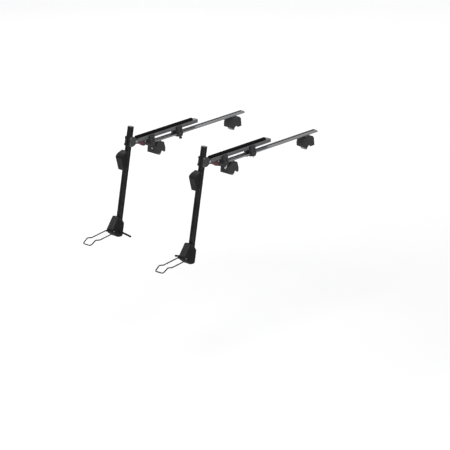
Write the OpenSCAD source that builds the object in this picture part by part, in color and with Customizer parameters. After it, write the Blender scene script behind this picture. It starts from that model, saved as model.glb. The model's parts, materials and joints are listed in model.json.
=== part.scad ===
// Side-loading roof carrier for a kayak or boards: two aero crossbars on four rail
// towers, each bar carrying a beam whose tilting, sliding arm hangs beside the car.
// Millimetres. +X is forward, +Y is away from the loading side, +Z is up.
// The origin is the middle of the rack in plan, at the height of the roof rails.

/* [Crossbars] */
// Distance between the two crossbars
bar_spacing = 880; // [800:10:1000]
// Length of a crossbar with its end caps
bar_length = 1290; // [1290:10:1360]
// Width of the aero profile
bar_w = 70; // [66:1:76]
// Height of the aero profile
bar_h = 24; // [22:1:26]
// Height of the crossbar's middle above the rail's middle
bar_z = 116; // [114:1:120]

/* [Rails and towers] */
// Distance between the two roof rails
rail_spread = 1000; // [990:10:1010]
// Radius of the roof rail that the towers clamp
rail_r = 16; // [14:0.5:17]
// Width of a tower along the rail
tower_w = 112; // [104:1:118]

/* [Beam] */
// Width of the beam across its length
beam_w = 50; // [48:1:52]
// Height of the beam
beam_h = 34; // [32:1:36]
// Height of the beam's middle, which is also the height of the arm's pivot
beam_z = 177; // [177:1:180]
// Distance of the arm's pivot from the middle of the car
pivot_reach = 811; // [800:1:824]

/* [Arm] */
// Side of the arm's square section
arm_w = 42; // [41:0.5:42]
// Lean of the hanging arm from the vertical, in degrees
arm_lean = 10.8; // [8:0.1:14]
// Distance from the pivot to the arm's centre line
arm_offset = 61; // [61:0.5:64]
// Length of the arm above its pivot
arm_above = 135; // [120:1:150]
// Length of the arm below its pivot
arm_below = 850; // [840:1:870]
// How much further down the front unit's lower saddle is set
front_shift = 50; // [0:1:50]

/* [Saddles] */
// Width of a saddle along the car
saddle_w = 72; // [70:1:76]
// Distance of the lower saddle's high point below the pivot
saddle_low = 803; // [800:1:810]
// Distance of the upper saddle's high point below the pivot
saddle_high = 147; // [145:1:155]
// Radius of the wire of the loading hook
wire_r = 5.5; // [5:0.25:6]
// Reach of the loading hook from its pivot
hook_reach = 315; // [300:5:330]

/* [Handle] */
// Length of the lift handle from the arm's middle
handle_length = 172; // [150:2:200]
// Radius of the lift handle
handle_r = 9; // [8:0.5:10]

/* [Hidden] */
$fn = 48;

// Finishes
BLACK = [0.07, 0.07, 0.075];
RUBBER = [0.02, 0.02, 0.02];
ANODISED = [0.20, 0.20, 0.21];
SILVER = [0.70, 0.71, 0.72];
STEEL = [0.55, 0.56, 0.58];
RED = [0.36, 0.07, 0.09];

// Fits
gap = 0.3;          // between pieces that move past each other
pin_play = 0.06;    // round a pin that turns in its hole

// Crossbar
slot_w = 10;
slot_depth = 6;
strip_w = 24;
strip_t = 2;
cap_length = 10;
bar_bottom = bar_z - bar_h / 2;

// Tower
rail_y = rail_spread / 2;
base_w = 56;
pad_t = 4;
jaw_t = 9;
shell_t = 3;
door_w = 60;
door_low = 19;
door_high = 78;
door_hinge_y = -71;
door_hinge_r = 3;
door_axle_r = 1.6;
lock_r = 6.5;
lock_z = 52;

// Beam
beam_top = beam_z + beam_h / 2;
beam_bottom = beam_z - beam_h / 2;
beam_out = pivot_reach - 32;      // where the extrusion meets the hinge block
beam_end = 16;                    // how far the inner end passes the middle
beam_cap_length = 12;
track_w = 30;
track_h = 20;
track_out = pivot_reach - 27;
track_in = 44;

// Clamps
clamp_length = 56;
clamp_out = 604;
clamp_in = 239;
clamp_bolt_x = 42;
clamp_bolt_r = 4;
jaw_h = 11;
jaw_bottom = bar_bottom - jaw_h;
knob_r = 15;
knob_h = 20;

// Hinge
pivot_r = 6;
cheek_in = beam_w / 2 + 0.5;
cheek_t = 8;
boss_r = 19;
lever_pin_y = -684;
lever_pin_z = 147;
lever_pin_r = 3;
lever_w = 32;
plate_t = 4;

// Carriage, measured in the arm's own frame
guide_low = -48;
guide_high = 42;
liner_back = arm_w / 2 + gap;
back_in = 24.5;
back_t = 6.5;
groove_w = 9;
groove_depth = 8;

// Saddle outline: thin end and high point, out from the arm's middle and along the arm
thin_n = 55;
thin_z = 116;
high_n = 112;
slope = atan2(high_n - thin_n, thin_z);
pad_ribs = 14;
tunnel = arm_w / 2 + 0.4;
neck_w = 36;
neck_n = 29;

// Loading hook, in the lower saddle's frame
hook_pivot_n = 92;
hook_pivot_z = -16;
hook_x = 50;
hook_droop = 16.8;
stop_r = 3.5;

// Lift handle, in the lower saddle's frame
handle_n = 8;
handle_z = -11;
handle_droop = 7.8;
handle_root = 25;

// ---- helpers ----

// Points of an arc of radius r about c
function arc(c, r, a0, a1, n = 8) =
    [for (i = [0 : n]) let (a = a0 + (a1 - a0) * i / n) c + r * [cos(a), sin(a)]];

// Rounds one corner p between its neighbours a and b with radius r
function corner(a, p, b, r) =
    let (u = (a - p) / norm(a - p), v = (b - p) / norm(b - p),
         half = acos(u * v) / 2, d = r / tan(half),
         m = (u + v) / norm(u + v), c = p + m * r / sin(half),
         s = p + u * d - c, e = p + v * d - c,
         t0 = atan2(s[1], s[0]), raw = atan2(e[1], e[0]) - t0,
         turn = raw > 180 ? raw - 360 : raw < -180 ? raw + 360 : raw)
    arc(c, r, t0, t0 + turn, 6);

// An outline with each corner [x, y, radius] rounded
function rounded(p) =
    let (n = len(p), q = [for (k = p) [k[0], k[1]]])
    [for (i = [0 : n - 1])
        each (p[i][2] > 0 ? corner(q[(i + n - 1) % n], q[i], q[(i + 1) % n], p[i][2]) : [q[i]])];

// Rounded rectangle centred on the origin
function plate(w, h, r) = rounded([[-w/2, -h/2, r], [w/2, -h/2, r], [w/2, h/2, r], [-w/2, h/2, r]]);

// Extrudes a (y, z) outline along X, centred
module along_x(length) rotate([90, 0, 90]) linear_extrude(length, center = true) children();

// Extrudes an (x, z) outline along Y from y0 to y1
module along_y(y0, y1) translate([0, y1, 0]) rotate([90, 0, 0]) linear_extrude(y1 - y0) children();

// Cylinder along X, centred
module rod_x(r, length) rotate([0, 90, 0]) cylinder(r = r, h = length, center = true);

// Box by its two corners
module block(a, b) translate(a) cube(b - a);

// A route whose inner points [x, y, z, r] are rounded, starting r from each point
function bend(a, p, b, r, n = 4) =
    let (s = p + r * (a - p) / norm(a - p), e = p + r * (b - p) / norm(b - p))
    [for (i = [0 : n]) let (t = i / n) (1 - t) * (1 - t) * s + 2 * t * (1 - t) * p + t * t * e];
function route(p) =
    let (n = len(p), q = [for (k = p) [k[0], k[1], k[2]]])
    concat([q[0]], [for (i = [1 : n - 2]) each bend(q[i - 1], q[i], q[i + 1], p[i][3])], [q[n - 1]]);

// Round wire swept along a route that never runs along Z
module wire(path, r, sides = 12) {
    n = len(path);
    rings = [for (i = [0 : n - 1])
        let (d = path[min(i + 1, n - 1)] - path[max(i - 1, 0)], t = d / norm(d),
             u = cross(t, [0, 0, 1]), a = u / norm(u), b = cross(a, t))
        for (k = [0 : sides - 1]) path[i] + r * (cos(360 * k / sides) * a + sin(360 * k / sides) * b)];
    skin = [for (i = [0 : n - 2], k = [0 : sides - 1])
        let (m = (k + 1) % sides)
        [i * sides + k, i * sides + m, (i + 1) * sides + m, (i + 1) * sides + k]];
    ends = [[for (k = [sides - 1 : -1 : 0]) k], [for (k = [0 : sides - 1]) (n - 1) * sides + k]];
    polyhedron(rings, concat(skin, ends));
}

// Places a front unit, or its mirror image at the rear
module at_unit(front) {
    if (front) translate([bar_spacing / 2, 0, 0]) children();
    else mirror([1, 0, 0]) translate([bar_spacing / 2, 0, 0]) children();
}

// Places a tower's piece at one corner; the piece is drawn for the near side
module at_corner(front, near) {
    mirror([0, near ? 0 : 1, 0])
        translate([(front ? 1 : -1) * bar_spacing / 2, -rail_y, 0]) children();
}
module at_corners() {
    for (front = [true, false], near = [true, false]) at_corner(front, near) children();
}

// The arm's frame: origin on the pivot, +Z up the arm, -Y out from the car
module on_arm() translate([0, -pivot_reach, beam_z]) rotate([-arm_lean, 0, 0]) children();

// ---- crossbars ----

function aero(w, h, n = 72) =
    [for (i = [0 : n - 1]) let (a = 360 * i / n, s = sin(a))
        [w / 2 * sign(cos(a)) * pow(abs(cos(a)), 0.8),
         h / 2 * sign(s) * pow(abs(s), 0.9)]];

module crossbar_shape() {
    inner = bar_length / 2 - cap_length;
    difference() {
        along_y(-inner, inner) polygon(aero(bar_w, bar_h));
        block([-slot_w / 2, -inner - 1, bar_h / 2 - slot_depth], [slot_w / 2, inner + 1, bar_h]);
        block([-strip_w / 2, -inner - 1, bar_h / 2 - strip_t], [strip_w / 2, inner + 1, bar_h]);
        block([-slot_w / 2, -inner - 1, -bar_h], [slot_w / 2, inner + 1, -bar_h / 2 + 4]);
        for (side = [-1, 1])
            along_y(-inner - 1, inner + 1)
                polygon(rounded([[side * 8, -7.5, 1], [side * 21, -5, 2], [side * 27, 0, 1],
                                 [side * 21, 5, 2], [side * 8, 7.5, 1]]));
    }
}
module crossbar(front) color(SILVER)
    translate([(front ? 1 : -1) * bar_spacing / 2, 0, bar_z]) crossbar_shape();

module bar_slot_strips() color(RUBBER)
    for (side = [-1, 1])
        translate([side * bar_spacing / 2, 0, bar_z])
            along_y(-bar_length / 2 + cap_length, bar_length / 2 - cap_length)
                translate([0, bar_h / 2]) polygon([
                    [-slot_w / 2, -slot_depth], [slot_w / 2, -slot_depth], [slot_w / 2, -strip_t],
                    [strip_w / 2, -strip_t], [strip_w / 2, -1], [strip_w / 2 - 2, -0.2],
                    [2 - strip_w / 2, -0.2], [-strip_w / 2, -1], [-strip_w / 2, -strip_t],
                    [-slot_w / 2, -strip_t]]);

module bar_end_caps() color(BLACK)
    for (side = [-1, 1], end = [0, 1])
        mirror([0, end, 0]) translate([side * bar_spacing / 2, -bar_length / 2, bar_z])
            for (i = [0 : 3])
                along_y(1.5 * i, cap_length)
                    polygon(aero(bar_w + 1 - 2.4 * (3 - i), bar_h + 1 - 2 * (3 - i)));

// ---- towers, drawn about the rail's middle, with -Y outboard ----

module rail_pad() difference() {
    rod_x(rail_r + pad_t, base_w + 4, $fn = 64);
    rod_x(rail_r, base_w + 6, $fn = 64);
    block([-50, -40, -40], [50, 40, 3]);
}
module rail_pads() color(RUBBER) at_corners() rail_pad();

module tower_base() difference() {
    along_x(base_w)
        polygon(rounded([[-26, 3, 3], [-30, 22, 6], [-22, bar_z - 4, 1], [20, bar_z - 4, 1],
                         [21.5, 60, 2], [21.5, 3, 0]]));
    translate([0, 0, bar_z]) along_y(-50, 50) polygon(aero(bar_w, bar_h));
    rod_x(rail_r + pad_t, base_w + 2, $fn = 64);
    translate([0, 0, 34]) rotate([90, 0, 0]) cylinder(r = 4, h = 80, center = true);
}
module tower_bases() color(STEEL) at_corners() tower_base();

// The outline of the casing, and of the hollow inside it
function casing(t) = rounded([
    [-75 + t, 6 - t, 1], [-67 + t, 84 - t / 2, 24 - t], [-44, 101 - t, 4],
    [27 - t, 101 - t, 8], [45 - t, 42, 10], [43 - t, 6 - t, 1]]);
module casing_wall() difference() {
    along_x(tower_w) polygon(casing(0));
    along_x(tower_w - 2 * shell_t) polygon(casing(shell_t));
    block([-tower_w, -100, -5], [tower_w, 100, 6.5]);
}
module tower_shell() difference() {
    union() {
        casing_wall();
        for (side = [-1, 1])
            translate([side * (door_w / 2 + 4), door_hinge_y + 2, door_low]) rod_x(4, 7);
    }
    block([-base_w / 2 - 1, -24, 90], [base_w / 2 + 1, 24, 110]);
    block([-door_w / 2 - 0.4, -90, door_low - 4], [door_w / 2 + 0.4, -50, door_high + 0.5]);
    translate([0, door_hinge_y, door_low]) rod_x(door_axle_r + pin_play, door_w + 8);
    rod_x(rail_r + pad_t, tower_w + 2);
}
module tower_shells() color(BLACK) at_corners() tower_shell();

module tower_door() difference() {
    union() {
        intersection() {
            casing_wall();
            block([-door_w / 2, -90, door_low], [door_w / 2, -50, door_high]);
        }
        translate([0, door_hinge_y, door_low]) rod_x(door_hinge_r, door_w);
        translate([0, door_hinge_y, door_low]) rod_x(door_axle_r, door_w + 7);
        translate([0, -67, lock_z]) rotate([84, 0, 0]) cylinder(r = lock_r + 3, h = 8, center = true);
    }
    translate([0, -67, lock_z]) rotate([84, 0, 0])
        cylinder(r = lock_r + pin_play, h = 30, center = true);
}
module door_at(front, near) color(BLACK) at_corner(front, near) tower_door();

module lock_core() translate([0, -67, lock_z]) rotate([84, 0, 0]) difference() {
    union() {
        cylinder(r = lock_r, h = 9, center = true);
        translate([0, 0, -9]) cylinder(r = 3, h = 5);
    }
    translate([0, 0, 4.5]) cube([1.6, 8, 3], center = true);
}
module lock_at(front, near) color(STEEL) at_corner(front, near) lock_core();

module tower_jaw() difference() {
    union() {
        difference() {
            rod_x(rail_r + jaw_t, base_w - 8, $fn = 64);
            block([-50, -40, 0], [50, 40, 40]);
            block([-50, -40, -40], [50, -13, 0]);
        }
        block([4 - base_w / 2, 22, -1], [base_w / 2 - 4, 22 + 8, 56]);
    }
    rod_x(rail_r, base_w, $fn = 64);
    translate([0, 26, 34]) rotate([90, 0, 0]) cylinder(r = 4, h = 20, center = true);
}
module tower_jaws() color(STEEL) at_corners() tower_jaw();

module tower_bolt() translate([0, 0, 34]) rotate([-90, 0, 0]) difference() {
    union() {
        translate([0, 0, -24]) cylinder(r = 4, h = 54);
        translate([0, 0, 30]) cylinder(r = 6.5, h = 7);
    }
    translate([0, 0, 33]) cylinder(r = 3, h = 8, $fn = 6);
}
module tower_bolts() color(STEEL) at_corners() tower_bolt();

// ---- beam and its clamps ----

module beam(front) color(ANODISED) at_unit(front) translate([0, 0, beam_z]) difference() {
    along_y(-beam_out, beam_end - beam_cap_length) polygon(plate(beam_w, beam_h, 4));
    along_y(-beam_out - 1, beam_end)
        for (side = [-1, 1]) translate([side * 10.5, 0]) polygon(plate(15, 27, 2));
    for (side = [-1, 1])
        block([side * beam_w / 2 - 3, -beam_out - 1, -4], [side * beam_w / 2 + 3, beam_end, 4]);
}

module beam_track(front) color(RUBBER) at_unit(front) translate([0, 0, beam_top])
    along_y(-track_out, -track_in)
        polygon(rounded([[-track_w / 2, 0, 0], [track_w / 2, 0, 0], [track_w / 2, 11, 2],
                         [track_w / 2 - 4, track_h, 3], [4 - track_w / 2, track_h, 3],
                         [-track_w / 2, 11, 2]]));

module beam_cap(front) color(BLACK) at_unit(front) translate([0, beam_end, beam_z]) {
    along_y(-beam_cap_length, -5) polygon(plate(beam_w + 1, beam_h + 1, 5));
    along_y(-beam_cap_length, -2) polygon(plate(beam_w - 3, beam_h - 3, 5));
    along_y(-beam_cap_length, 0) polygon(plate(beam_w - 8, beam_h - 8, 5));
    for (side = [-1, 1])
        translate([side * 10.5, 0, 0]) along_y(-beam_cap_length - 18, -5) polygon(plate(14.6, 26.6, 2));
}

// Seat between crossbar and beam, with cheeks up the beam's sides
module clamp_saddle() difference() {
    along_y(-clamp_length / 2, clamp_length / 2)
        polygon(rounded([[-49, 106, 3], [-49, 122, 6], [-33, beam_top - 6, 3], [33, beam_top - 6, 3],
                         [49, 122, 6], [49, 106, 3]]));
    translate([0, 0, bar_z]) along_y(-40, 40) polygon(aero(bar_w + 0.4, bar_h + 0.4));
    block([-bar_w / 2 - 0.2, -40, 90], [bar_w / 2 + 0.2, 40, bar_z]);
    block([-beam_w / 2, -40, beam_bottom], [beam_w / 2, 40, beam_top + 10]);
    for (side = [-1, 1]) translate([side * clamp_bolt_x, 0, 100]) {
        cylinder(r = clamp_bolt_r + pin_play, h = 60);
        translate([0, 0, 18]) cylinder(r = 7.5, h = 60);
    }
}
module at_clamps(front) at_unit(front) for (y = [-clamp_out, -clamp_in]) translate([0, y, 0]) children();
module clamp_saddles(front) color(BLACK) at_clamps(front) clamp_saddle();

module clamp_jaw() difference() {
    along_y(-22, 22)
        polygon(rounded([[-49, jaw_bottom, 3], [-49, 105.5, 2], [49, 105.5, 2], [49, jaw_bottom, 3],
                         [30, jaw_bottom, 3], [22, jaw_bottom - 4, 3], [-22, jaw_bottom - 4, 3],
                         [-30, jaw_bottom, 3]]));
    translate([0, 0, bar_z]) along_y(-40, 40) polygon(aero(bar_w + 0.4, bar_h + 0.4));
    for (side = [-1, 1]) translate([side * clamp_bolt_x, 0, 60])
        cylinder(r = clamp_bolt_r + pin_play, h = 60);
}
module clamp_jaws(front) color(BLACK) at_clamps(front) clamp_jaw();

// A bolt each side of the bar: one takes a nut below, the other the turning knob
module clamp_bolts(front) color(STEEL) at_clamps(front) for (side = [-1, 1])
    translate([side * clamp_bolt_x, 0, 0]) {
        translate([0, 0, 74]) cylinder(r = clamp_bolt_r, h = 44);
        translate([0, 0, 118]) cylinder(r = 6.5, h = 5, $fn = 6);
        if (side > 0) translate([0, 0, jaw_bottom - 6]) cylinder(r = 6.8, h = 6, $fn = 6);
    }

module clamp_knob(front, y) color(BLACK) at_unit(front)
    translate([-clamp_bolt_x, y, jaw_bottom - knob_h - 0.6]) difference() {
        union() {
            cylinder(r = knob_r - 3, h = knob_h);
            for (a = [0 : 60 : 300])
                rotate(a) translate([knob_r - 4, 0, 0]) cylinder(r = 4, h = knob_h - 6);
        }
        translate([0, 0, 1]) cylinder(r = clamp_bolt_r + pin_play, h = knob_h);
    }

// ---- hinge at the beam's outer end ----

module hinge_block(front) color(BLACK) at_unit(front) difference() {
    union() {
        translate([0, -pivot_reach, beam_z]) rod_x(beam_h / 2, beam_w);
        block([-beam_w / 2, -pivot_reach, beam_bottom], [beam_w / 2, -beam_out, beam_top]);
        for (side = [-1, 1])
            translate([side * 10.5, 0, beam_z])
                along_y(-beam_out - 1, -beam_out + 50) polygon(plate(14.6, 26.6, 2));
        along_y(-pivot_reach - 33, lever_pin_y + 12)
            polygon([[-18, beam_bottom - plate_t], [18, beam_bottom - plate_t],
                     [18, beam_bottom], [-18, beam_bottom]]);
        for (side = [-1, 1])
            translate([side * (lever_w / 2 + 3.5), 0, 0]) along_x(5)
                polygon(rounded([[lever_pin_y - 14, beam_bottom, 0], [lever_pin_y - 7, 137, 4],
                                 [lever_pin_y + 7, 137, 4], [lever_pin_y + 12, beam_bottom, 0]]));
    }
    translate([0, -pivot_reach, beam_z]) rod_x(pivot_r, beam_w + 2);
    translate([0, lever_pin_y, lever_pin_z]) rod_x(lever_pin_r, 60);
}

module hinge_pins(front) color(STEEL) at_unit(front) {
    translate([0, -pivot_reach, beam_z]) {
        rod_x(pivot_r, 2 * (cheek_in + cheek_t) + 4);
        for (side = [-1, 1])
            translate([side * (cheek_in + cheek_t + 3), 0, 0]) rod_x(pivot_r + 4, 5);
    }
    translate([0, lever_pin_y, lever_pin_z]) {
        rod_x(lever_pin_r, lever_w + 14);
        for (side = [-1, 1]) translate([side * (lever_w / 2 + 7.5), 0, 0]) rod_x(5, 2.5);
    }
}

module release_lever(front) color(RED) at_unit(front) translate([0, lever_pin_y, 0]) difference() {
    along_x(lever_w)
        polygon(rounded([[-122, 154.5, 2], [-124, 148, 3], [-70, 138, 20], [-22, 106, 10],
                         [10, 104, 6], [10, 148, 5], [2, 153.5, 4]]));
    translate([0, 0, lever_pin_z]) rod_x(lever_pin_r + pin_play, 60);
    along_x(lever_w - 10)
        polygon(rounded([[-106, 158, 0], [-68, 143, 14], [-16, 112, 6], [-12, 112, 2], [-12, 158, 0]]));
}

// ---- carriage that tilts on the pivot and guides the arm ----

module cheek(side) translate([side * (cheek_in + cheek_t / 2), 0, 0]) difference() {
    union() {
        rod_x(boss_r, cheek_t);
        along_x(cheek_t)
            polygon(rounded([[6, boss_r - 1, 4], [-arm_offset + back_in, guide_high, 8],
                             [-arm_offset - 18, guide_high, 8], [-arm_offset - 18, guide_low, 8],
                             [-arm_offset + back_in + 6, guide_low, 10], [12, -boss_r + 4, 4]]));
        for (z = [guide_high - 14, guide_low + 14])
            translate([0, -arm_offset - 13, z]) rod_x(12, cheek_t);
    }
    rod_x(pivot_r + pin_play, cheek_t + 2);
}
module carriage(front) color(BLACK) at_unit(front) on_arm() {
    for (side = [-1, 1]) cheek(side);
    block([-cheek_in - 1, -arm_offset + back_in, guide_low + 8],
          [cheek_in + 1, -arm_offset + back_in + back_t, 20]);
}

// Low-friction strips with a rib in each side groove, and a pad behind the arm
module carriage_liners(front) color(RUBBER) at_unit(front) on_arm() translate([0, -arm_offset, 0]) {
    for (side = [-1, 1]) mirror([side > 0 ? 0 : 1, 0, 0]) {
        block([liner_back, -17, guide_low + 3], [cheek_in, 17, guide_high - 3]);
        block([arm_w / 2 - 5, -groove_w / 2 + gap, guide_low + 3],
              [liner_back + 1, groove_w / 2 - gap, guide_high - 3]);
    }
    block([-18, liner_back, guide_low + 10], [18, back_in, 18]);
}

// ---- arm ----

module arm_section(w) difference() {
    polygon(plate(w, w, 3));
    for (a = [0 : 90 : 270]) rotate(a) {
        translate([w / 2 - groove_depth, -groove_w / 2]) square([groove_depth + 1, groove_w]);
    }
    circle(r = 7);
}
module arm(front) color(BLACK) at_unit(front) on_arm() translate([0, -arm_offset, -arm_below + 5])
    linear_extrude(arm_above + arm_below - 10) arm_section(arm_w);

module arm_caps(front) color(BLACK) at_unit(front) on_arm() translate([0, -arm_offset, 0])
    for (end = [[arm_above - 5, 1], [-arm_below + 5, -1]]) translate([0, 0, end[0]])
        mirror([0, 0, end[1] > 0 ? 0 : 1]) {
            linear_extrude(3) polygon(plate(arm_w, arm_w, 3));
            linear_extrude(5) polygon(plate(arm_w - 4, arm_w - 4, 3));
            translate([0, 0, -12]) cylinder(r = 6.8, h = 13);
        }

// ---- saddles: wedges whose slopes face each other along the arm ----

// Outlines are in (out from the arm, up the arm), about the level of the high point
module saddle_solid(width, outline)
    along_x(width) polygon([for (p = outline) [-p[0], p[1]]]);

// Point at share s down the sloping face, raised d above it
function on_slope(s, d) =
    [thin_n + (high_n - thin_n) * s + d * cos(slope), thin_z * (1 - s) + d * sin(slope)];

// The wedge's back, from its thin end round to the arm
wedge = [[thin_n, thin_z, 6], [high_n, 0, 8], [110, -16, 12], [88, -38, 14]];
sleeve_outline = concat([[-29, -50, 8], [-29, 60, 4], [24, thin_z, 3]], wedge,
                        [[30, -65, 14], [-16, -62, 8]]);
slider_outline = concat([[neck_n, thin_z, 3]], wedge, [[42, -62, 8], [neck_n, -62, 3]]);
pad_outline = concat([on_slope(0.95, -1.5), on_slope(0.05, -1.5)],
    [for (i = [0 : 2 * pad_ribs]) on_slope(0.05 + 0.45 * i / pad_ribs, i % 2 == 0 ? 2.6 : 4.2)]);
pocket_outline = rounded([[38, -24, 6], [86, -14, 8], [80, 14, 6], [46, 76, 6], [38, 70, 4]]);

module lower_frame(front) at_unit(front) on_arm()
    translate([0, -arm_offset, -saddle_low - (front ? front_shift : 0)]) children();
module upper_frame(front) at_unit(front) on_arm()
    translate([0, -arm_offset, -saddle_high]) mirror([0, 0, 1]) children();

module wedge_solid(outline) difference() {
    saddle_solid(saddle_w, rounded(outline));
    saddle_solid(saddle_w - 10, [on_slope(0.05, -1.5), on_slope(0.95, -1.5), on_slope(0.95, 12),
                                 on_slope(0.05, 12)]);
    for (side = [-1, 1])
        translate([side * (saddle_w / 2 + 1), 0, 0]) saddle_solid(7, pocket_outline);
}

module handle_axis() translate([0, -handle_n, handle_z]) rotate([0, -handle_droop, 0]) children();
module along_handle(r, from, to) translate([-from, 0, 0]) rotate([0, -90, 0]) cylinder(r = r, h = to - from);
module hook_axis() translate([0, -hook_pivot_n, hook_pivot_z]) rotate([hook_droop, 0, 0]) children();

module lower_saddle(front) color(BLACK) lower_frame(front) difference() {
    union() {
        wedge_solid(sleeve_outline);
        handle_axis() along_handle(handle_r + 4.5, saddle_w / 2 - 6, saddle_w / 2 + 9);
        for (side = [-1, 1])
            hook_axis() translate([side * (saddle_w / 2 + 9), -6, -wire_r - stop_r - gap])
                rod_x(stop_r, 20);
    }
    block([-tunnel, -tunnel, -90], [tunnel, tunnel, 130]);
    hook_axis() rod_x(wire_r + pin_play, 80);
    handle_axis() along_handle(handle_r, handle_root, saddle_w);
}

module upper_saddle(front) color(BLACK) upper_frame(front) {
    wedge_solid(slider_outline);
    block([-neck_w / 2, -neck_n - 1, -56], [neck_w / 2, -arm_w / 2, 110]);
    block([-groove_w / 2, -arm_w / 2 - 1, -50], [groove_w / 2, 6 - arm_w / 2, 104]);
}

module saddle_pad() saddle_solid(saddle_w - 10, pad_outline);
module lower_pad(front) color(RUBBER) lower_frame(front) saddle_pad();
module upper_pad(front) color(RUBBER) upper_frame(front) saddle_pad();

// ---- loading hook: a bent wire whose ends turn in to the saddle ----

// Half of the loop from the pivot: across, share of the reach, rise, length of each bend
half_hook = [[saddle_w / 2 - 9, 0, 0, 0], [hook_x, 0, 0, 10], [hook_x, 0.63, 0, 10],
    [hook_x, 0.795, 17, 10], [hook_x - 2, 0.93, -3, 5], [hook_x - 7, 1, -12, 15]];
hook_loop = concat(half_hook, [for (i = [len(half_hook) - 1 : -1 : 0])
    [-half_hook[i][0], half_hook[i][1], half_hook[i][2], half_hook[i][3]]]);
module loading_hook(front) color(BLACK) lower_frame(front) hook_axis()
    wire(route([for (p = hook_loop) [p[0], -p[1] * hook_reach, p[2], p[3]]]), wire_r);

// ---- lift handle ----

module lift_handle(front) color(BLACK) lower_frame(front) handle_axis() {
    along_handle(handle_r, handle_root, handle_length - handle_r);
    translate([handle_r - handle_length, 0, 0]) sphere(r = handle_r);
}

crossbar(true);  // front_crossbar
crossbar(false);  // rear_crossbar
bar_slot_strips();
bar_end_caps();
tower_bases();
tower_shells();
rail_pads();
tower_jaws();
tower_bolts();
door_at(true, true);  // front_near_door
door_at(true, false);  // front_far_door
door_at(false, true);  // rear_near_door
door_at(false, false);  // rear_far_door
lock_at(true, true);  // front_near_lock
lock_at(true, false);  // front_far_lock
lock_at(false, true);  // rear_near_lock
lock_at(false, false);  // rear_far_lock
beam(true);  // front_beam
beam_track(true);  // front_beam_track
beam_cap(true);  // front_beam_cap
clamp_saddles(true);  // front_clamp_saddles
clamp_jaws(true);  // front_clamp_jaws
clamp_bolts(true);  // front_clamp_bolts
clamp_knob(true, -clamp_out);  // front_outer_clamp_knob
clamp_knob(true, -clamp_in);  // front_inner_clamp_knob
hinge_block(true);  // front_hinge_block
hinge_pins(true);  // front_hinge_pins
release_lever(true);  // front_release_lever
carriage(true);  // front_carriage
carriage_liners(true);  // front_carriage_liners
arm(true);  // front_arm
arm_caps(true);  // front_arm_caps
upper_saddle(true);  // front_upper_saddle
upper_pad(true);  // front_upper_pad
lower_saddle(true);  // front_lower_saddle
lower_pad(true);  // front_lower_pad
loading_hook(true);  // front_loading_hook
lift_handle(true);  // front_lift_handle
beam(false);  // rear_beam
beam_track(false);  // rear_beam_track
beam_cap(false);  // rear_beam_cap
clamp_saddles(false);  // rear_clamp_saddles
clamp_jaws(false);  // rear_clamp_jaws
clamp_bolts(false);  // rear_clamp_bolts
clamp_knob(false, -clamp_out);  // rear_outer_clamp_knob
clamp_knob(false, -clamp_in);  // rear_inner_clamp_knob
hinge_block(false);  // rear_hinge_block
hinge_pins(false);  // rear_hinge_pins
release_lever(false);  // rear_release_lever
carriage(false);  // rear_carriage
carriage_liners(false);  // rear_carriage_liners
arm(false);  // rear_arm
arm_caps(false);  // rear_arm_caps
upper_saddle(false);  // rear_upper_saddle
upper_pad(false);  // rear_upper_pad
lower_saddle(false);  // rear_lower_saddle
lower_pad(false);  // rear_lower_pad
loading_hook(false);  // rear_loading_hook
lift_handle(false);  // rear_lift_handle
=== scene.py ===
import json
import math

import bmesh
import bpy
from mathutils import Matrix, Vector


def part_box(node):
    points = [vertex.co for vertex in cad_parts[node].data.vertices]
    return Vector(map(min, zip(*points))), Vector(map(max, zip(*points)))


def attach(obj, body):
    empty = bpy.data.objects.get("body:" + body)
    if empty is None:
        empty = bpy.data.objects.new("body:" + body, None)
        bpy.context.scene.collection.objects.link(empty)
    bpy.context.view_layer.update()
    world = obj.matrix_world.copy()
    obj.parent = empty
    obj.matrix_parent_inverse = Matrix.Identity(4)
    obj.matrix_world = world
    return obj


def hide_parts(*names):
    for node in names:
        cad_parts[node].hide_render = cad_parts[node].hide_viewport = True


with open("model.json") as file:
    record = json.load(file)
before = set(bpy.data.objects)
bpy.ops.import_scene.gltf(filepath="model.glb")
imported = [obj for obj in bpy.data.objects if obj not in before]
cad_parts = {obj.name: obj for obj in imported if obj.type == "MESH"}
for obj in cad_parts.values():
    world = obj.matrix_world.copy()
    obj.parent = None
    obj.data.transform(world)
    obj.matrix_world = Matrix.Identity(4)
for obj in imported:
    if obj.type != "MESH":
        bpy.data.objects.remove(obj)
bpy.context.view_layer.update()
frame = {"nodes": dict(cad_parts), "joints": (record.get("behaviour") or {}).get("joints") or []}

JOINTS = {j["name"]: j for j in frame["joints"]}
UNITS = ("front", "rear")
SIDES = ("near", "far")


# ---- frames: built for a front unit, mirrored in X for the rear one ----

ARM_OFFSET = 0.061                      # the arm's middle line, out from its pivot
HOOK_DROOP = math.radians(16.8)
HOOK_PIVOT_Z = -0.016                   # from the lower saddle's high point
HANDLE_DROOP = math.radians(7.8)
HANDLE_PLACE = (0.008, -0.011)          # (out, up) from the lower saddle's high point
UPPER_SADDLE = -0.147                   # its high point, down the arm from the pivot
SADDLE_SIDE = 0.0356                    # half of a saddle's width
BUSH_SIDE = 0.036                       # inner face of the hook's bushes, from the arm's middle
WIRE_RADIUS = 0.0055


def unit_matrix(unit):
    """Origin under the beam's middle line; X forward on the front unit and backward on the rear one."""
    x = JOINTS[f"{unit}_arm_tilt"]["pos_m"][0]
    turn = Matrix.Diagonal((1 if unit == "front" else -1, 1, 1, 1))
    return Matrix.Translation((x, 0, 0)) @ turn


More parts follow.
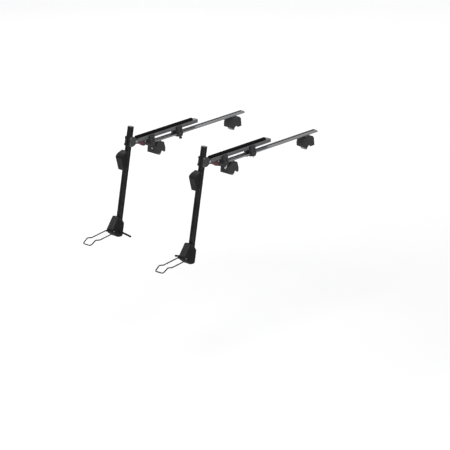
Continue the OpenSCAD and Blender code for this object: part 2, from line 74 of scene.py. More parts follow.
def arm_matrix(unit):
    """Origin on the arm's pivot, +Z up the arm, -Y out from the car."""
    pivot = JOINTS[f"{unit}_arm_tilt"]["pos_m"]
    up = Vector(JOINTS[f"{unit}_arm_slide"]["axis"]).normalized()
    tilt = Matrix.Rotation(-math.atan2(up.y, up.z), 4, "X")
    return unit_matrix(unit) @ Matrix.Translation((0, pivot[1], pivot[2])) @ tilt


def local_box(node, matrix):
    """Lowest and highest corner of a CAD node's vertices, seen in that frame."""
    back = matrix.inverted()
    points = [back @ v.co for v in frame["nodes"][node].data.vertices]
    low = Vector([min(p[i] for p in points) for i in range(3)])
    high = Vector([max(p[i] for p in points) for i in range(3)])
    return low, high


def hook_matrix(unit):
    """Origin on the hook's pivot, -Y out along its legs."""
    pivot = Vector(JOINTS[f"{unit}_hook_fold"]["pos_m"])
    turn = arm_matrix(unit).to_3x3().to_4x4() @ Matrix.Rotation(HOOK_DROOP, 4, "X")
    return Matrix.Translation(pivot) @ turn


def saddle_matrix(unit, upper):
    """Origin in the arm's middle, level with the saddle's high point; +Z towards its thin end."""
    arm = arm_matrix(unit)
    if upper:
        flip = Matrix.Diagonal((1, 1, -1, 1))
        return arm @ Matrix.Translation((0, -ARM_OFFSET, UPPER_SADDLE)) @ flip
    pivot = arm.inverted() @ Vector(JOINTS[f"{unit}_hook_fold"]["pos_m"])
    return arm @ Matrix.Translation((0, -ARM_OFFSET, pivot.z - HOOK_PIVOT_Z))


# ---- meshes ----

SHARP_ANGLE = 35                        # degrees between faces, over which an edge stays sharp
BEVEL_ANGLE = 40                        # degrees between faces, over which an edge is rounded
FILLET_STEPS = 8
CORNER_STEPS = 4


def ring_faces(count, rings):
    """Quads between rings of the same number of points, with a face on each end."""
    faces = []
    for r in range(rings - 1):
        for k in range(count):
            m = (k + 1) % count
            faces.append((r * count + k, r * count + m, (r + 1) * count + m, (r + 1) * count + k))
    faces.append(tuple(range(count - 1, -1, -1)))
    faces.append(tuple((rings - 1) * count + k for k in range(count)))
    return faces


def loft(rings):
    """Vertices and faces of a closed solid through rings of points."""
    return [p for ring in rings for p in ring], ring_faces(len(rings[0]), len(rings))


def joined(*solids):
    """Several solids as one list of vertices and faces."""
    verts, faces = [], []
    for more_verts, more_faces in solids:
        start = len(verts)
        verts += more_verts
        faces += [tuple(i + start for i in f) for f in more_faces]
    return verts, faces


def moved(solid, matrix):
    """A solid in another place."""
    return [matrix @ Vector(v) for v in solid[0]], solid[1]


def piece(name, solid, matrix, body, material, sharp=SHARP_ANGLE):
    """Makes a named piece from a solid, smooth apart from its sharp edges, riding on a body."""
    verts, faces = solid
    mesh = bpy.data.meshes.new(name)
    mesh.from_pydata([matrix @ Vector(v) for v in verts], [], faces)
    bm = bmesh.new()
    bm.from_mesh(mesh)
    bmesh.ops.recalc_face_normals(bm, faces=bm.faces)
    for face in bm.faces:
        face.smooth = True
    for edge in bm.edges:
        edge.smooth = len(edge.link_faces) == 2 and edge.calc_face_angle(0) < math.radians(sharp)
    bm.to_mesh(mesh)
    bm.free()
    obj = bpy.data.objects.new(name, mesh)
    bpy.context.scene.collection.objects.link(obj)
    obj.data.materials.append(material)
    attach(obj, body)
    return obj


def soften(obj, width, segments):
    """Rounds an object's sharp edges and evens its shading."""
    mod = obj.modifiers.new("rounding", "BEVEL")
    mod.width = width
    mod.segments = segments
    mod.limit_method = "ANGLE"
    mod.angle_limit = math.radians(BEVEL_ANGLE)
    mod.use_clamp_overlap = True
    mod.harden_normals = True
    mod.miter_outer = "MITER_ARC"


def circle(r, z, count=24):
    """A ring of points about Z."""
    return [(r * math.cos(2 * math.pi * k / count), r * math.sin(2 * math.pi * k / count), z)
            for k in range(count)]


def hexagon(r, z, count=24):
    """A hexagon sampled at count points, r to its corners."""
    ring = []
    for k in range(count):
        angle = 2 * math.pi * k / count
        within = (angle % (math.pi / 3)) - math.pi / 6
        reach = r * math.cos(math.pi / 6) / math.cos(within)
        ring.append((reach * math.cos(angle), reach * math.sin(angle), z))
    return ring


def lathe(profile, count=32):
    """A solid turned about Z from (radius, z) points."""
    return loft([circle(r, z, count) for r, z in profile])


def prism(outline, z0, z1):
    """A solid with a flat outline, from z0 to z1."""
    return loft([[(x, y, z0) for x, y in outline], [(x, y, z1) for x, y in outline]])


def socket_screw(r, h):
    """Head of a socket screw standing on z = 0."""
    chamfer = r * 0.15
    key = r * 0.58
    return loft([circle(r * 0.96, 0), circle(r, r * 0.06), circle(r, h - chamfer), circle(r - chamfer, h),
                 hexagon(key, h), hexagon(key * 0.97, h - h * 0.55)])


def washer(r_in, r_out, t):
    """A washer with rounded rims, standing on z = 0."""
    e = t * 0.3
    rings = [circle(r_in, 0), circle(r_out - e, 0), circle(r_out, e), circle(r_out, t - e),
             circle(r_out - e, t), circle(r_in, t)]
    verts, faces = loft(rings)
    faces = faces[:-2]                  # the hole takes the place of the end faces
    count = len(rings[0])
    last = (len(rings) - 1) * count
    for k in range(count):
        m = (k + 1) % count
        faces.append((last + k, last + m, m, k))
    return verts, faces


def tube(path, radius, sides):
    """A round rod along a path; radius is a number or a function of the share of the way."""
    rings = []
    side = None
    for i, p in enumerate(path):
        along = (path[min(i + 1, len(path) - 1)] - path[max(i - 1, 0)]).normalized()
        if side is None:
            side = along.cross(Vector((0, 0, 1))).normalized()
        side = (side - along * side.dot(along)).normalized()
        up = side.cross(along)
        r = radius(i / (len(path) - 1)) if callable(radius) else radius
        rings.append([p + side * (r * math.cos(2 * math.pi * k / sides))
                      + up * (r * math.sin(2 * math.pi * k / sides)) for k in range(sides)])
    return loft(rings)


def fillet_path(corners):
    """Path through corners (x, y, z, cut), each inner one rounded over the length cut on both sides."""
    points = [Vector(c[:3]) for c in corners]
    path = [points[0]]
    for i in range(1, len(points) - 1):
        a, p, b = points[i - 1], points[i], points[i + 1]
        start = p + (a - p).normalized() * corners[i][3]
        end = p + (b - p).normalized() * corners[i][3]
        for k in range(FILLET_STEPS + 1):
            t = k / FILLET_STEPS
            path.append(start * (1 - t) ** 2 + p * 2 * t * (1 - t) + end * t * t)
    path.append(points[-1])
    return path


# ---- materials ----

class Shader:
    """A node material with a Principled surface and object coordinates."""

    def __init__(self, name):
        self.material = bpy.data.materials.new(name)
        self.material.use_nodes = True
        self.tree = self.material.node_tree
        self.surface = self.tree.nodes["Principled BSDF"]
        self.place = self.node("ShaderNodeTexCoord").outputs["Object"]

    def node(self, kind, **values):
        """Adds a node and sets its properties."""
        made = self.tree.nodes.new(kind)
        for key, value in values.items():
            setattr(made, key, value)
        return made

    def link(self, value, socket):
        """Feeds a socket from another one, or sets it to a constant."""
        if hasattr(value, "links"):
            self.tree.links.new(value, socket)
        else:
            socket.default_value = value

    def scaled(self, x, y, z, turn=(0, 0, 0)):
        """Object coordinates turned and stretched."""
        made = self.node("ShaderNodeMapping")
        self.link(self.place, made.inputs["Vector"])
        made.inputs["Rotation"].default_value = turn
        made.inputs["Scale"].default_value = (x, y, z)
        return made.outputs["Vector"]

    def noise(self, place, scale, detail, rough):
        """Fractal noise, about 0.5."""
        made = self.node("ShaderNodeTexNoise")
        self.link(place, made.inputs["Vector"])
        made.inputs["Scale"].default_value = scale
        made.inputs["Detail"].default_value = detail
        made.inputs["Roughness"].default_value = rough
        return made.outputs["Fac"]

    def cells(self, place, scale):
        """Distance to the nearest of scattered points."""
        made = self.node("ShaderNodeTexVoronoi")
        self.link(place, made.inputs["Vector"])
        made.inputs["Scale"].default_value = scale
        return made.outputs["Distance"]

    def spread(self, value, low, high, out_low=0.0, out_high=1.0):
        """Maps low..high to out_low..out_high, clamped."""
        made = self.node("ShaderNodeMapRange")
        self.link(value, made.inputs["Value"])
        for key, number in (("From Min", low), ("From Max", high), ("To Min", out_low), ("To Max", out_high)):
            made.inputs[key].default_value = number
        return made.outputs["Result"]

    def blend(self, share, first, second):
        """Colour between two colours."""
        made = self.node("ShaderNodeMix", data_type="RGBA")
        self.link(share, made.inputs[0])
        self.link(first if hasattr(first, "links") else (*first, 1), made.inputs[6])
        self.link(second if hasattr(second, "links") else (*second, 1), made.inputs[7])
        return made.outputs[2]

    def sum(self, first, second, kind="ADD"):
        """Two values added, or combined by another operation."""
        made = self.node("ShaderNodeMath", operation=kind)
        self.link(first, made.inputs[0])
        self.link(second, made.inputs[1])
        return made.outputs[0]

    def edges(self, radius):
        """Near 1 on worn outer edges, 0 on flat stretches."""
        rounded = self.node("ShaderNodeBevel", samples=4)
        rounded.inputs["Radius"].default_value = radius
        flat = self.node("ShaderNodeNewGeometry")
        dot = self.node("ShaderNodeVectorMath", operation="DOT_PRODUCT")
        self.link(rounded.outputs["Normal"], dot.inputs[0])
        self.link(flat.outputs["Normal"], dot.inputs[1])
        return self.spread(dot.outputs["Value"], 0.99, 0.9)

    def bump(self, height, strength, distance, after=None):
        """Normal roughened by a height, on top of another bump."""
        made = self.node("ShaderNodeBump")
        made.inputs["Strength"].default_value = strength
        made.inputs["Distance"].default_value = distance
        self.link(height, made.inputs["Height"])
        if after is not None:
            self.link(after, made.inputs["Normal"])
        return made.outputs["Normal"]

    def finish(self, colour, rough, normal, metallic=0.0, coat=0.0, gloss=0.5):
        """Wires up the surface and returns the material."""
        inputs = self.surface.inputs
        inputs["Specular IOR Level"].default_value = gloss
        self.link(colour, inputs["Base Color"])
        self.link(rough, inputs["Roughness"])
        if normal is not None:
            self.link(normal, inputs["Normal"])
        inputs["Metallic"].default_value = metallic
        inputs["Coat Weight"].default_value = coat
        return self.material


def extruded_metal(name, colour, worn, stretch, rough, turn=(0, 0, 0), painted_shade_heights=None):
    """Anodised extrusion with fine die lines along its length; painted shade darkens it below the heights in
    painted_shade_heights.
    """
    s = Shader(name)
    along = s.scaled(*stretch, turn=turn)
    lines = s.noise(along, 900, 2.0, 0.6)
    broad = s.noise(along, 120, 3.0, 0.5)
    patches = s.noise(s.place, 9, 4.0, 0.6)
    streak = 0.12
    base = s.blend(s.spread(patches, 0.3, 0.7), [c * (1 - streak) for c in colour],
                   [c * (1 + streak) for c in colour])
    base = s.blend(s.spread(broad, 0.35, 0.7, 0.0, 0.35), base, [c * 1.35 for c in colour])
    base = s.blend(s.sum(s.edges(0.0012), s.spread(patches, 0.35, 0.65), "MULTIPLY"), base, worn)
    if painted_shade_heights:
        # painted shade: the colour falls to 0.3 of itself below these object heights, standing in for a
        # shaded underside
        parts = s.node("ShaderNodeSeparateXYZ")
        s.link(s.place, parts.inputs[0])
        base = s.blend(s.spread(parts.outputs["Z"], *painted_shade_heights), [c * 0.3 for c in colour], base)
    roughness = s.spread(s.sum(lines, patches), 0.6, 1.4, rough - 0.07, rough + 0.11)
    return s.finish(base, roughness, s.bump(lines, 0.12, 0.0004), metallic=1.0)


def powder_coat(name, colour, worn, rough=0.42, gloss=0.3):
    """Powder coat: a fine orange peel, dust in patches and rubbed edges."""
    s = Shader(name)
    peel = s.noise(s.place, 420, 2.0, 0.5)
    grain = s.noise(s.place, 1900, 2.0, 0.5)
    patches = s.noise(s.place, 14, 5.0, 0.6)
    base = s.blend(s.spread(patches, 0.3, 0.75), colour, [c * 1.5 for c in colour])
    base = s.blend(s.sum(s.edges(0.0014), s.spread(grain, 0.3, 0.6), "MULTIPLY"), base, worn)
    roughness = s.spread(patches, 0.25, 0.75, rough - 0.06, rough + 0.12)
    normal = s.bump(grain, 0.12, 0.0002, s.bump(peel, 0.25, 0.0005))
    return s.finish(base, roughness, normal, coat=0.2 * gloss, gloss=gloss)


def moulded_plastic(name, colour, worn, rough=0.5, gloss=0.22):
    """Glass-filled nylon with a spark-eroded grain."""
    s = Shader(name)
    pits = s.cells(s.place, 1500)
    flow = s.noise(s.scaled(1, 1, 3), 35, 5.0, 0.6)
    patches = s.noise(s.place, 7, 4.0, 0.6)
    base = s.blend(s.spread(flow, 0.3, 0.7), colour, [c * 1.45 for c in colour])
    base = s.blend(s.sum(s.edges(0.0016), s.spread(patches, 0.3, 0.6, 0.4, 1.0), "MULTIPLY"), base, worn)
    roughness = s.spread(s.sum(flow, patches), 0.6, 1.4, rough - 0.08, rough + 0.12)
    return s.finish(base, roughness, s.bump(pits, 0.3, 0.0004), gloss=gloss)


def soft_rubber(name, colour, dust, rough=0.78, gloss=0.18):
    """Rubber with a bloom of dust in its hollows."""
    s = Shader(name)
    skin = s.noise(s.place, 700, 4.0, 0.65)
    patches = s.noise(s.place, 18, 5.0, 0.6)
    base = s.blend(s.spread(patches, 0.4, 0.8, 0.0, 0.6), colour, dust)
    roughness = s.spread(skin, 0.3, 0.7, rough - 0.1, rough + 0.1)
    return s.finish(base, roughness, s.bump(skin, 0.3, 0.0004), gloss=gloss)


def plated_steel(name, colour):
    """Zinc-plated steel, faintly mottled."""
    s = Shader(name)
    rough = 0.28
    mottle = s.cells(s.place, 260)
    fine = s.noise(s.place, 1300, 3.0, 0.6)
    base = s.blend(s.spread(mottle, 0.1, 0.8), colour, [c * 0.72 for c in colour])
    roughness = s.spread(fine, 0.3, 0.7, rough - 0.06, rough + 0.14)
    return s.finish(base, roughness, s.bump(fine, 0.1, 0.0002), metallic=1.0)


def gloss_plastic(name, colour, deep, worn):
    """Smooth moulded plastic with faint swirls and scuffs."""
    s = Shader(name)
    rough = 0.27
    swirl = s.noise(s.scaled(1, 2, 1), 40, 5.0, 0.7)
    scuff = s.noise(s.scaled(1, 8, 1), 160, 3.0, 0.6)
    base = s.blend(s.spread(swirl, 0.35, 0.7), colour, deep)
    base = s.blend(s.sum(s.edges(0.0015), 0.6, "MULTIPLY"), base, worn)
    roughness = s.spread(scuff, 0.35, 0.75, rough, rough + 0.2)
    return s.finish(base, roughness, s.bump(scuff, 0.08, 0.0003), coat=0.12, gloss=0.3)


def across(side, x, y, z):
    """Turns a piece that stands on z = 0 so that it stands on a side face, at x out from the middle."""
    return Matrix.Translation((side * x, y, z)) @ Matrix.Rotation(side * math.pi / 2, 4, "Y")


ARM_TURN = (-math.atan2(*JOINTS["front_arm_slide"]["axis"][1:]), 0, 0)
# painted shade on the crossbar's underside, below 0.109 to 0.116 m in object height
SILVER = extruded_metal("silver_bar", (0.235, 0.237, 0.242), (0.45, 0.45, 0.45), (1, 0.02, 1), rough=0.3,
                        painted_shade_heights=(0.109, 0.116))
ANODISED = extruded_metal("dark_beam", (0.115, 0.116, 0.12), (0.35, 0.35, 0.36), (1, 0.02, 1), rough=0.34)
ARM_BLACK = extruded_metal("black_arm", (0.017, 0.017, 0.018), (0.12, 0.12, 0.125), (1, 1, 0.02), rough=0.36,
                           turn=ARM_TURN)
PLASTIC = moulded_plastic("black_nylon", (0.014, 0.014, 0.015), (0.05, 0.05, 0.05))
SADDLE = moulded_plastic("saddle_nylon", (0.005, 0.005, 0.0055), (0.03, 0.03, 0.031), rough=0.6, gloss=0.1)
GREY = moulded_plastic("grey_nylon", (0.10, 0.10, 0.105), (0.2, 0.2, 0.2), rough=0.5)
COATED = powder_coat("black_coat", (0.014, 0.014, 0.015), (0.11, 0.11, 0.115))
WIRE = powder_coat("wire_coat", (0.008, 0.008, 0.009), (0.04, 0.04, 0.04), rough=0.4, gloss=0.15)
RUBBER = soft_rubber("black_rubber", (0.005, 0.005, 0.005), (0.016, 0.015, 0.015), gloss=0.14)
TRACK = soft_rubber("track_rubber", (0.002, 0.002, 0.002), (0.005, 0.005, 0.005), rough=0.85, gloss=0.09)
PAD = soft_rubber("facing_rubber", (0.026, 0.026, 0.027), (0.045, 0.045, 0.046), rough=0.75, gloss=0.12)
STEEL = plated_steel("zinc_steel", (0.55, 0.56, 0.58))
CASTING = powder_coat("cast_core_coat", (0.16, 0.165, 0.17), (0.5, 0.5, 0.5), rough=0.5)
RED = gloss_plastic("wine_lever", (0.06, 0.008, 0.012), (0.036, 0.005, 0.008), (0.11, 0.03, 0.035))


# ---- camera: the photograph's viewing angle ----

AZIMUTH = math.radians(41.83)
ELEVATION = math.radians(18.84)
FOCAL = 7.933                   # focal length over frame width
REACH = 32.147                  # from the origin, along the view
OFFSET = (0.01357, 0.16893)     # where the origin shows, right of and above the middle, over frame width


def make_camera():
    """Camera that shows the rack as the photograph does."""
    back = Vector((math.sin(AZIMUTH) * math.cos(ELEVATION), -math.cos(AZIMUTH) * math.cos(ELEVATION),
                   math.sin(ELEVATION)))
    right = Vector((0, 0, 1)).cross(back).normalized()
    up = back.cross(right)
    data = bpy.data.cameras.new("camera")
    data.sensor_width = 36
    data.lens = FOCAL * data.sensor_width
    data.clip_end = 400
    camera = bpy.data.objects.new("camera", data)
    bpy.context.scene.collection.objects.link(camera)
    camera.location = back * REACH - right * (OFFSET[0] * REACH / FOCAL) - up * (OFFSET[1] * REACH / FOCAL)
    camera.rotation_mode = "QUATERNION"
    camera.rotation_quaternion = Matrix((right, up, back)).transposed().to_quaternion()
    bpy.context.scene.camera = camera


# ---- the CAD nodes that stay ----

def dress(node, material, rounding=0.0, segments=2):
    """Gives a CAD node its material, and rounds its edges or keeps them sharp."""
    obj = frame["nodes"][node]
    obj.data.materials.clear()
    obj.data.materials.append(material)
    for polygon in obj.data.polygons:
        polygon.use_smooth = True
    if rounding:
        soften(obj, rounding, segments)
    else:
        split = obj.modifiers.new("sharp_edges", "EDGE_SPLIT")
        split.split_angle = math.radians(SHARP_ANGLE)


def dress_nodes():
    """Materials and rounded edges for every CAD node that isn't replaced."""
    for unit in UNITS:
        dress(f"{unit}_crossbar", SILVER)
        dress(f"{unit}_beam", ANODISED, 0.0006)
        dress(f"{unit}_beam_cap", GREY, 0.0008)
        dress(f"{unit}_clamp_saddles", PLASTIC, 0.0015)
        dress(f"{unit}_clamp_jaws", COATED, 0.0012)
        dress(f"{unit}_clamp_bolts", STEEL, 0.0006)
        dress(f"{unit}_hinge_block", COATED, 0.0012)
        dress(f"{unit}_hinge_pins", STEEL, 0.0008)
        dress(f"{unit}_release_lever", RED, 0.0015)
        dress(f"{unit}_carriage", COATED, 0.0014)
        dress(f"{unit}_carriage_liners", RUBBER, 0.0005)
        dress(f"{unit}_arm_caps", GREY, 0.0008)
        dress(f"{unit}_upper_saddle", SADDLE, 0.002, 3)
        dress(f"{unit}_lower_saddle", SADDLE, 0.002, 3)
        for side in SIDES:
            dress(f"{unit}_{side}_door", PLASTIC, 0.0008)
            dress(f"{unit}_{side}_lock", STEEL, 0.0004)
    dress("bar_slot_strips", RUBBER)
    dress("bar_end_caps", PLASTIC)
    dress("tower_bases", CASTING, 0.0012)
    dress("tower_shells", PLASTIC, 0.0025, 3)
    dress("rail_pads", RUBBER)
    dress("tower_jaws", CASTING, 0.001)
    dress("tower_bolts", STEEL, 0.0006)


# ---- pieces that stand for CAD nodes, or lie on them ----

def slot_outline(half, mouth, lip, wide, deep):
    """Square extrusion with a T-slot and two fine lines on each side."""
    groove = half - 0.0006
    edge = 0.0004
    taper = half - deep * 0.68
    side = [(half, -half * 0.62), (groove, -half * 0.6), (half, -half * 0.58),
            (half, -mouth - edge), (half - edge, -mouth), (half - lip, -mouth), (half - lip, -wide),
            (taper, -wide), (half - deep, -mouth), (half - deep, mouth),
            (taper, wide), (half - lip, wide), (half - lip, mouth), (half - edge, mouth),
            (half, mouth + edge), (half, half * 0.58), (groove, half * 0.6), (half, half * 0.62)]
    curve = 0.003
    centre = half - curve
    for k in range(CORNER_STEPS + 1):
        a = math.pi / 2 * k / CORNER_STEPS
        side.append((centre + curve * math.cos(a), centre + curve * math.sin(a)))
    points = []
    for turn in range(4):
        c, s = round(math.cos(turn * math.pi / 2)), round(math.sin(turn * math.pi / 2))
        points += [(x * c - y * s, x * s + y * c) for x, y in side]
    return points


def make_arm(unit):
    """Square extrusion with a T-slot in each of its four sides."""
    matrix = arm_matrix(unit)
    low, high = local_box(f"{unit}_arm", matrix)
    half = (high.x - low.x) / 2
    outline = slot_outline(half, mouth=0.0045, lip=0.0022, wide=0.0069, deep=0.0078)
    body = prism([(x, y - ARM_OFFSET) for x, y in outline], low.z, high.z)
    obj = piece(f"{unit}_arm_extrusion", body, matrix, f"{unit}_arm_body", ARM_BLACK)
    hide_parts(f"{unit}_arm")


SLOPE_THIN = (0.055, 0.116)             # (out, up) of the sloping face's thin end
SLOPE_HIGH = (0.112, 0.0)               # and of its high end
SLOPE = math.atan2(SLOPE_HIGH[0] - SLOPE_THIN[0], SLOPE_THIN[1])


def on_slope(share, rise):
    """(y, z) of a point down the saddle's sloping face, raised off it."""
    out = SLOPE_THIN[0] + (SLOPE_HIGH[0] - SLOPE_THIN[0]) * share + rise * math.cos(SLOPE)
    return -out, SLOPE_THIN[1] * (1 - share) + rise * math.sin(SLOPE)


PAD_RIBS = 15
PAD_EDGE = 0.0016                       # rise of the facing at its sides
PAD_RIB = ((0.14, 0.0024), (0.26, 0.0040), (0.42, 0.0042), (0.58, 0.0042), (0.74, 0.0040), (0.86, 0.0024))


def make_pad(unit, upper):
    """Rubber facing with fine ribs that run down the slope."""
    where = "upper" if upper else "lower"
    matrix = saddle_matrix(unit, upper)
    low, high = local_box(f"{unit}_{where}_pad", matrix)
    half = (high.x - low.x) / 2
    pitch = 2 * half / PAD_RIBS
    stations = [(-half, PAD_EDGE)]
    for k in range(PAD_RIBS):
        start = -half + k * pitch
        stations += [(start + share * pitch, rise) for share, rise in PAD_RIB]
    stations.append((half, PAD_EDGE))
    rings = []
    for x, rise in stations:
        profile = [(0.95, -0.0015), (0.05, -0.0015), (0.05, 0.0008), (0.056, rise * 0.8), (0.07, rise)]
        profile += [(0.07 + 0.86 * k / 6, rise) for k in range(1, 7)]
        profile += [(0.944, rise * 0.8), (0.95, 0.0008)]
        rings.append([(x, *on_slope(share, up)) for share, up in profile])
    body = f"{unit}_arm_body" if upper else f"{unit}_saddle_body"
    obj = piece(f"{unit}_{where}_facing", loft(rings), matrix, body, PAD, sharp=50)
    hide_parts(f"{unit}_{where}_pad")


def make_hook(unit):
    """Bent wire with its ends in the saddle, and a bright bush round each of them."""
    matrix = hook_matrix(unit)
    low, high = local_box(f"{unit}_loading_hook", matrix)
    x = high.x - WIRE_RADIUS
    reach = -low.y - WIRE_RADIUS
    half = [(0.027, 0, 0, 0), (x, 0, 0, 0.012), (x, 0.63, 0, 0.012), (x, 0.795, 0.017, 0.012),
            (x - 0.002, 0.93, -0.003, 0.005), (x - 0.007, 1, -0.012, 0.0145)]
    corners = half + [(-a, b, c, d) for a, b, c, d in reversed(half)]
    path = fillet_path([(a, -b * reach, c, d) for a, b, c, d in corners])
    body = f"{unit}_hook_body"
    wire = tube(path, WIRE_RADIUS, 24)
    obj = piece(f"{unit}_hook_wire", wire, matrix, body, WIRE, sharp=60)
    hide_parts(f"{unit}_loading_hook")
    bush = washer(WIRE_RADIUS + 0.0001, 0.0095, 0.003)
    bushes = [moved(bush, across(side, BUSH_SIDE, 0, 0)) for side in (-1, 1)]
    piece(f"{unit}_hook_bushes", joined(*bushes), matrix, f"{unit}_saddle_body", STEEL)


GRIP_START = 0.052                      # from the arm's middle
GRIP_PITCH = 0.0075
GRIP_WAIST = 0.93                       # radius between two ribs, over the radius on them


def make_handle(unit):
    """Lift handle: a steel tube under a ribbed rubber grip with a rounded end."""
    frame_of_saddle = saddle_matrix(unit, False)
    matrix = (frame_of_saddle @ Matrix.Translation((0, -HANDLE_PLACE[0], HANDLE_PLACE[1]))
              @ Matrix.Rotation(-HANDLE_DROOP, 4, "Y") @ Matrix.Rotation(-math.pi / 2, 4, "Y"))
    low, high = local_box(f"{unit}_lift_handle", matrix)
    r = high.x
    waist = r * GRIP_WAIST
    rod = lathe([(r * 0.86, low.z), (r * 0.86, GRIP_START + 0.004)])
    profile = [(r * 0.87, GRIP_START), (r, GRIP_START + 0.0015), (r, GRIP_START + 0.006),
               (waist, GRIP_START + 0.008)]
    z = GRIP_START + 0.011
    while z < high.z - 0.030:
        profile += [(waist, z), (r, z + 0.0012), (r, z + 0.0038), (waist, z + 0.005)]
        z += GRIP_PITCH
    end = high.z - r
    profile += [(waist, end - 0.012), (r, end - 0.009), (r, end)]
    profile += [(r * math.cos(a), end + r * math.sin(a)) for a in (0.3, 0.6, 0.9, 1.2, 1.45)]
    body = f"{unit}_saddle_body"
    piece(f"{unit}_handle_tube", rod, matrix, body, COATED)
    grip = piece(f"{unit}_handle_grip", lathe(profile), matrix, body, RUBBER, sharp=50)
    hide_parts(f"{unit}_lift_handle")


KNOB_POINTS = 72
KNOB_LOBES = 6
KNOB_RADIUS = 0.0149


def lobed(radius, z):
    """A ring with smooth finger lobes."""
    return [(radius * (0.9 + 0.1 * math.cos(KNOB_LOBES * a)) * math.cos(a),
             radius * (0.9 + 0.1 * math.cos(KNOB_LOBES * a)) * math.sin(a), z)
            for a in (2 * math.pi * k / KNOB_POINTS for k in range(KNOB_POINTS))]


def make_knob(unit, which):
    """Lobed clamp knob with a dished underside."""
    node = f"{unit}_{which}_clamp_knob"
    pivot = JOINTS[f"{unit}_{which}_knob_turn"]["pos_m"]
    low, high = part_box(node)
    matrix = Matrix.Translation((pivot[0], pivot[1], low[2]))
    r, h = KNOB_RADIUS, high[2] - low[2]
    dish = [circle(r * 0.5, 0.003, KNOB_POINTS), circle(r * 0.58, 0.001, KNOB_POINTS)]
    grip = [lobed(r * 0.86, 0), lobed(r * 0.96, 0.001), lobed(r, 0.003), lobed(r, h * 0.62),
            lobed(r * 0.95, h * 0.7)]
    boss = [circle(r * share, h * height, KNOB_POINTS)
            for share, height in ((0.66, 0.76), (0.6, 0.98), (0.55, 1))]
    body = f"{unit}_{which}_knob_body"
    obj = piece(f"{unit}_{which}_knob", loft(dish + grip + boss), matrix, body, PLASTIC)
    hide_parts(node)


def make_track(unit):
    """Rubber track on the beam, with grooves along its top and flanks."""
    low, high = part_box(f"{unit}_beam_track")
    half, h = (high[0] - low[0]) / 2, high[2] - low[2]
    flank = [(half, 0), (half, h * 0.18), (half - 0.001, h * 0.21), (half - 0.001, h * 0.27), (half, h * 0.3),
             (half, h * 0.5), (half - 0.0006, h * 0.57), (half - 0.0036, h * 0.93), (half - 0.0048, h)]
    pitch, wide, narrow, deep = 0.0035, 0.0012, 0.0006, 0.0012
    top = []
    for k in range(2, -3, -1):
        x = k * pitch
        top += [(x + wide, h), (x + narrow, h - deep), (x - narrow, h - deep), (x - wide, h)]
    outline = flank + top + [(-x, z) for x, z in reversed(flank)]
    rings = [[(x, y, z) for x, z in outline] for y in (low[1], high[1])]
    matrix = Matrix.Translation(((low[0] + high[0]) / 2, 0, low[2]))
    obj = piece(f"{unit}_track", loft(rings), matrix, "rack", TRACK)
    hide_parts(f"{unit}_beam_track")


def make_lever_ribs(unit):
    """Finger ribs across the underside of the release lever."""
    matrix = unit_matrix(unit) @ Matrix.Translation((0, JOINTS[f"{unit}_lever_pull"]["pos_m"][1], 0))
    first, pitch, rise = (-0.116, 0.1466), 0.0075, 0.0014
    ribs = []
    for k in range(6):
        y = first[0] + pitch * k
        z = first[1] - rise * k
        path = [Vector((x, y, z)) for x in (-0.0125, -0.012, -0.004, 0.004, 0.012, 0.0125)]
        ribs.append(tube(path, lambda share: 0.0007 if share in (0, 1) else 0.0014, 12))
    piece(f"{unit}_lever_ribs", joined(*ribs), matrix, f"{unit}_lever_body", RED)


def make_fasteners(unit):
    """Screws on the carriage and hinge, the saddles' sides and the beam's inner end."""
    arm = arm_matrix(unit)
    cheek = local_box(f"{unit}_carriage", arm)[1].x
    row = -ARM_OFFSET - 0.013
    thick = 0.0013
    screws, washers = [], []
    for side in (-1, 1):
        for z in (0.028, -0.034):
            washers.append(moved(washer(0.003, 0.0085, thick), across(side, cheek, row, z)))
            screws.append(moved(socket_screw(0.0062, 0.0048), across(side, cheek + thick, row, z)))
    body = f"{unit}_carriage_body"
    piece(f"{unit}_carriage_washers", joined(*washers), arm, body, STEEL)
    piece(f"{unit}_carriage_screws", joined(*screws), arm, body, COATED)

    tilt = JOINTS[f"{unit}_arm_tilt"]["pos_m"]
    end = local_box(f"{unit}_hinge_pins", unit_matrix(unit))[1].x
    heads = [moved(socket_screw(0.0068, 0.0035), across(side, end, tilt[1], tilt[2])) for side in (-1, 1)]
    piece(f"{unit}_pivot_heads", joined(*heads), unit_matrix(unit), "rack", STEEL)

    for where, upper in (("upper", True), ("lower", False)):
        matrix = saddle_matrix(unit, upper)
        screws = [moved(socket_screw(0.0045, 0.0022), across(side, SADDLE_SIDE, y, z))
                  for side in (-1, 1) for y, z in ((-0.034, -0.042), (-0.036, 0.1))]
        body = f"{unit}_arm_body" if upper else f"{unit}_saddle_body"
        piece(f"{unit}_{where}_saddle_screws", joined(*screws), matrix, body, COATED)

    low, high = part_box(f"{unit}_beam_cap")
    middle = Matrix.Translation(((low[0] + high[0]) / 2, high[1], (low[2] + high[2]) / 2))
    turned = middle @ Matrix.Rotation(-math.pi / 2, 4, "X") @ Matrix.Translation((0, 0, -0.001))
    screws = [moved(socket_screw(0.0038, 0.002), Matrix.Translation((x, 0, 0))) for x in (-0.0125, 0.0125)]
    piece(f"{unit}_cap_screws", joined(*screws), turned, "rack", STEEL)


def make_door_seal(unit, side):
    """Rubber lip behind the foot of a tower's door, so that the gap over its hinge is closed."""
    hinge = Vector(JOINTS[f"{unit}_{side}_door_open"]["pos_m"])
    inward = 1 if side == "near" else -1
    matrix = Matrix.Translation(hinge) @ Matrix.Diagonal((1, inward, 1, 1))
    section = [(0.0045, -0.008), (0.0075, -0.0085), (0.008, 0.006), (0.0065, 0.0068), (0.0052, 0.0055),
               (0.0056, -0.002)]
    rings = [[(x, y, z) for y, z in section] for x in (-0.0315, 0.0315)]
    piece(f"{unit}_{side}_door_seal", loft(rings), matrix, "rack", RUBBER)


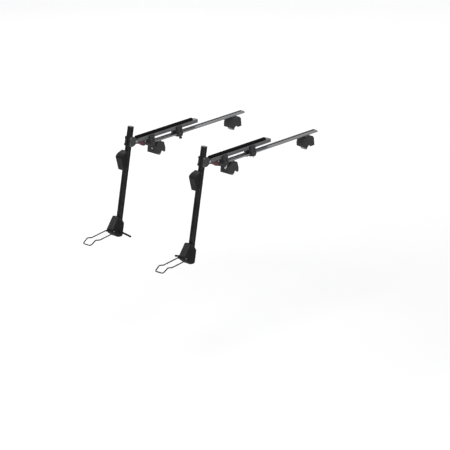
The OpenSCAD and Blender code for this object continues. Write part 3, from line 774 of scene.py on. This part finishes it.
def make_bezel(unit, side):
    """Bright ring round a tower's lock."""
    lock = JOINTS[f"{unit}_{side}_lock_turn"]
    out = Vector(lock["axis"]).normalized()
    turn = out.to_track_quat("Z", "X").to_matrix().to_4x4()
    matrix = Matrix.Translation(Vector(lock["pos_m"]) + out * 0.0038) @ turn
    ring = washer(0.0067, 0.0091, 0.001)
    piece(f"{unit}_{side}_lock_bezel", ring, matrix, f"{unit}_{side}_door_body", STEEL)


def make_pieces():
    """Every piece that isn't a CAD node."""
    for unit in UNITS:
        make_arm(unit)
        make_pad(unit, True)
        make_pad(unit, False)
        make_hook(unit)
        make_handle(unit)
        make_knob(unit, "outer")
        make_knob(unit, "inner")
        make_track(unit)
        make_lever_ribs(unit)
        make_fasteners(unit)
        for side in SIDES:
            make_bezel(unit, side)
            make_door_seal(unit, side)


# ---- floor and light ----

FLOOR = -1.8
FLOOR_RADIUS = 90
FLOOR_PAINTED_LIGHT_RAMP = (2.7, 11.1)        # painted light: the floor's colour pales between these distances, as much as its light falls off
FLOOR_SIDES = 96
LIGHT_AIM = (0, -0.4, -0.1)


def make_floor():
    """Plain pale disc under the rack, with painted light in its colour: darker near the rack and paler far
    off.
    """
    top = circle(FLOOR_RADIUS, FLOOR, FLOOR_SIDES)
    base = circle(FLOOR_RADIUS, FLOOR - 0.02, FLOOR_SIDES)
    verts, faces = loft([top, base])
    mesh = bpy.data.meshes.new("floor")
    mesh.from_pydata(verts, [], faces)
    floor = bpy.data.objects.new("floor", mesh)
    bpy.context.scene.collection.objects.link(floor)
    s = Shader("pale_floor")
    patches = s.noise(s.place, 0.4, 2.0, 0.5)
    reach = s.node("ShaderNodeVectorMath", operation="LENGTH")
    s.link(s.place, reach.inputs[0])
    # painted light: the floor's colour ramps from dark near the rack to pale far off, against its light's
    # fall-off, with faint random patches on top
    share = s.sum(s.spread(reach.outputs["Value"], *FLOOR_PAINTED_LIGHT_RAMP), s.spread(patches, 0.3, 0.7, -0.02, 0.02))
    floor_tone_with_painted_light = s.blend(share, (0.67, 0.67, 0.67), (0.97, 0.97, 0.97))
    mesh.materials.append(s.finish(floor_tone_with_painted_light, s.spread(patches, 0.3, 0.7, 0.85, 0.9), None))


def make_light(name, energy, size, place):
    """A round area light that faces the rack."""
    data = bpy.data.lights.new(name, "AREA")
    data.shape = "DISK"
    data.size = size
    data.energy = energy
    light = bpy.data.objects.new(name, data)
    bpy.context.scene.collection.objects.link(light)
    light.location = place
    light.rotation_mode = "QUATERNION"
    light.rotation_quaternion = (Vector(place) - Vector(LIGHT_AIM)).to_track_quat("Z", "Y")


def make_world():
    """Bright near the horizon and darker overhead, so that metal has something to show."""
    world = bpy.data.worlds.new("studio")
    bpy.context.scene.world = world
    world.use_nodes = True
    tree = world.node_tree
    place = tree.nodes.new("ShaderNodeTexCoord")
    split = tree.nodes.new("ShaderNodeSeparateXYZ")
    tree.links.new(place.outputs["Generated"], split.inputs[0])
    ramp = tree.nodes.new("ShaderNodeValToRGB")
    tree.links.new(split.outputs["Z"], ramp.inputs[0])
    ramp.color_ramp.elements[0].position = 0.0
    ramp.color_ramp.elements[0].color = (1.0, 1.0, 1.0, 1)
    ramp.color_ramp.elements[1].position = 0.75
    ramp.color_ramp.elements[1].color = (0.72, 0.72, 0.73, 1)
    background = tree.nodes["Background"]
    tree.links.new(ramp.outputs[0], background.inputs["Color"])
    background.inputs["Strength"].default_value = 1.12


make_camera()
make_world()
make_floor()
make_light("key", 900, 5, (3.5, -6.5, 8.5))
make_light("rim", 300, 4, (-6, 3, 6))
bpy.context.scene.view_settings.view_transform = "Standard"
dress_nodes()
make_pieces()
